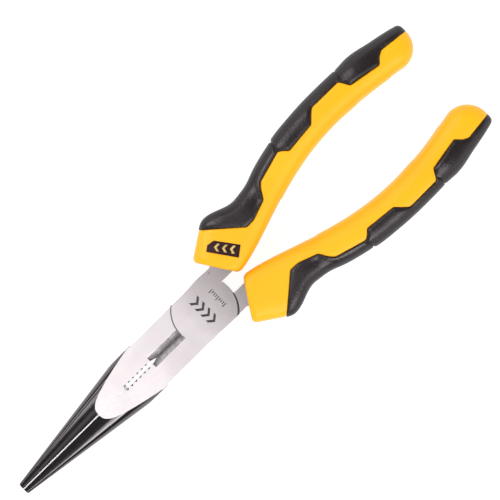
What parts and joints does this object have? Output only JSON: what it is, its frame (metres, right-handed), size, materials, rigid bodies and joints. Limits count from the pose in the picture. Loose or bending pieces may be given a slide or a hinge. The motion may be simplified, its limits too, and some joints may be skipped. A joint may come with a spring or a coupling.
{
  "type": "needle nose pliers",
  "caption": "Long-nose pliers with a lap joint, pipe grip, side cutter and two-material sleeve grips; the jaws open on a rivet.",
  "frame": {"origin": "on the pivot axis, in the plane of the joint's rear flat face", "axes": "+X towards the jaw tips, +Z out of the joint's front face, +Y towards the front lever's jaw; the jaws open along Y"},
  "size_m": [0.2016, 0.054, 0.0168],
  "materials": {
    "steel": "ground and satin polished, dark polished nose",
    "rivet_steel": "ground flush",
    "grip_yellow": "satin",
    "grip_black": "soft matt",
    "badge_dark": "gloss"
  },
  "bodies": {
    "front_half": {"front_lever": "steel", "pivot_rivet": "rivet_steel", "front_grip_core": "grip_yellow", "front_grip_pad": "grip_black", "grip_badge": "badge_dark"},
    "rear_half": {"rear_lever": "steel", "rear_grip_core": "grip_yellow", "rear_grip_pad": "grip_black"}
  },
  "joints": [
    {"name": "jaw_pivot", "type": "hinge", "parent": "front_half", "child": "rear_half", "pos_m": [0, 0, 0], "axis": [0, 0, -1], "range_deg": [0, 45]}
  ]
}
